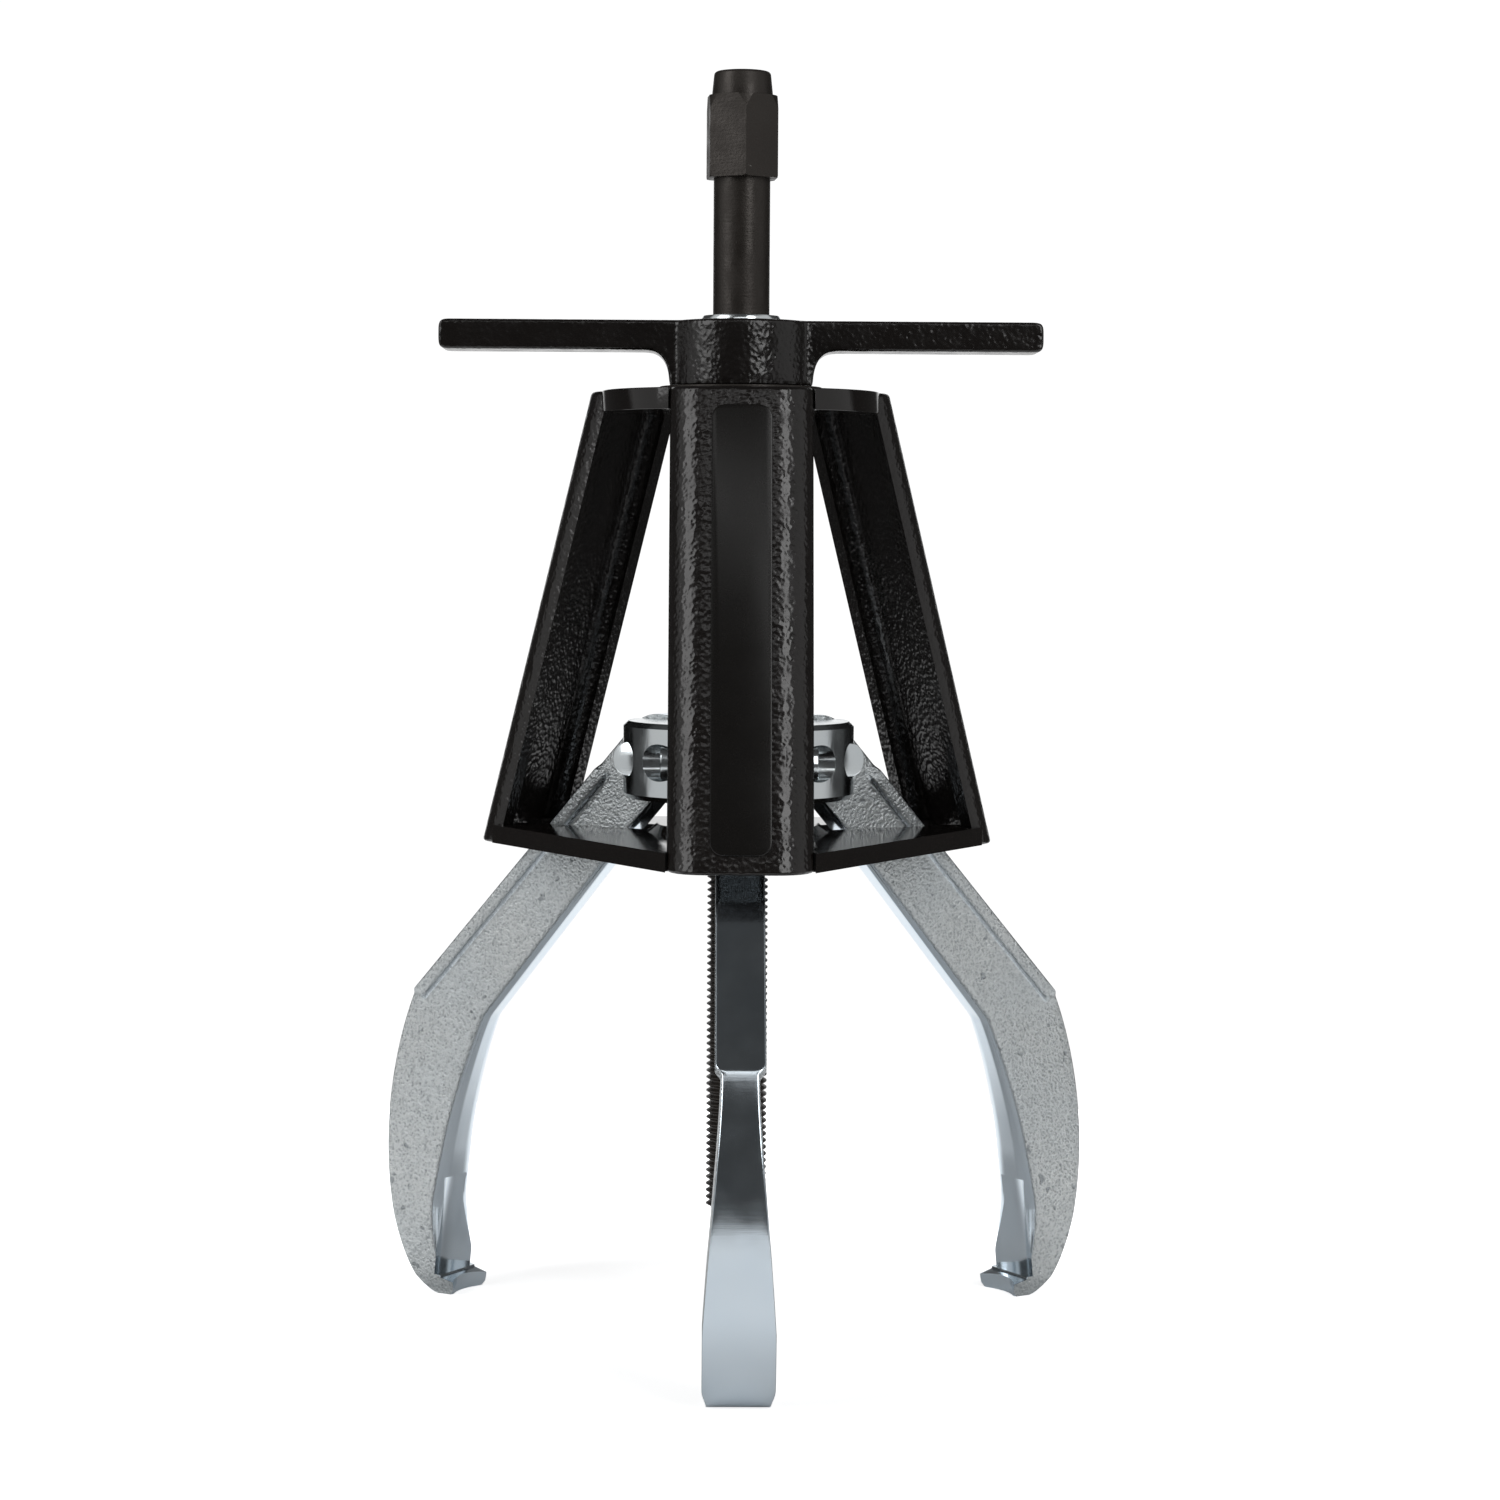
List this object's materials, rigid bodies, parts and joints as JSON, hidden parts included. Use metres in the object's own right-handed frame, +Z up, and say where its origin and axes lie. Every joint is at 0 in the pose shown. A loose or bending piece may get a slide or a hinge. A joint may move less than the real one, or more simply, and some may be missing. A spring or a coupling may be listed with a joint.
{
  "type": "gear puller",
  "caption": "Jaw puller with a forcing screw, and a cage that slides down under a T-handle to close and lock the jaws.",
  "frame": {"origin": "middle of the pressing face at the lower end of the forcing screw, jaws fully open", "axes": "+Z up along the forcing screw, towards its hexagon; the first jaw and leg face -Y, and the T-handle lies along X"},
  "size_m": [0.1724, 0.1497, 0.2951],
  "materials": {
    "black_paint": "semi-gloss black paint with orange peel over a cast surface",
    "black_oxide": "black oxide, satin",
    "cast_zinc": "zinc plate over a pebbled forging",
    "bright_zinc": "bright zinc plate, turned",
    "label_film": "glossy black film"
  },
  "bodies": {
    "jaw_head": {"jaw_head": "bright_zinc", "jaw_bolt_1": "bright_zinc", "jaw_bolt_2": "bright_zinc", "jaw_bolt_3": "bright_zinc", "jaw_bolt_lock_screw_1": "black_oxide", "jaw_bolt_lock_screw_2": "black_oxide", "jaw_bolt_lock_screw_3": "black_oxide"},
    "cage": {"cage_top_plate": "black_paint", "cage_leg_1": "black_paint", "cage_leg_2": "black_paint", "cage_leg_3": "black_paint", "cage_base_plate": "black_paint", "cage_label": "label_film", "handle_thrust_washer": "black_oxide"},
    "t_handle": {"t_handle": "black_paint", "handle_retaining_ring": "black_oxide"},
    "jaw_1": {"jaw_1": "cast_zinc"},
    "jaw_2": {"jaw_2": "cast_zinc"},
    "jaw_3": {"jaw_3": "cast_zinc"},
    "centre_point": {"centre_point": "black_oxide", "thrust_ball": "bright_zinc"},
    "forcing_screw": {"forcing_screw": "black_oxide"}
  },
  "joints": [
    {"name": "cage_travel", "type": "slide", "parent": "jaw_head", "child": "cage", "axis": [0, 0, -1], "range_m": [0, 0.05]},
    {"name": "handle_turn", "type": "hinge", "parent": "cage", "child": "t_handle", "pos_m": [0, 0, 0.216], "axis": [0, 0, -1], "range_deg": [0, 7090]},
    {"name": "jaw_1_pivot", "type": "hinge", "parent": "jaw_head", "child": "jaw_1", "pos_m": [0, -0.0197, 0.1216], "axis": [1, 0, 0], "range_deg": [0, 27]},
    {"name": "jaw_2_pivot", "type": "hinge", "parent": "jaw_head", "child": "jaw_2", "pos_m": [0.01706, 0.00985, 0.1216], "axis": [-0.5, 0.866, 0], "range_deg": [0, 27]},
    {"name": "jaw_3_pivot", "type": "hinge", "parent": "jaw_head", "child": "jaw_3", "pos_m": [-0.01706, 0.00985, 0.1216], "axis": [-0.5, -0.866, 0], "range_deg": [0, 27]},
    {"name": "screw_advance", "type": "slide", "parent": "jaw_head", "child": "centre_point", "axis": [0, 0, -1], "range_m": [-0.085, 0.03]},
    {"name": "screw_turn", "type": "hinge", "parent": "centre_point", "child": "forcing_screw", "pos_m": [0, 0, 0.14], "axis": [0, 0, -1], "range_deg": [-19280, 6810]}
  ],
  "couplings": [
    {"joint": "handle_turn", "follows": "cage_travel", "rad_per_m": 2473.7},
    {"joint": "jaw_1_pivot", "follows": "cage_travel", "rad_per_m": 9.42},
    {"joint": "jaw_2_pivot", "follows": "cage_travel", "rad_per_m": 9.42},
    {"joint": "jaw_3_pivot", "follows": "cage_travel", "rad_per_m": 9.42},
    {"joint": "screw_turn", "follows": "screw_advance", "rad_per_m": 3957.9}
  ]
}
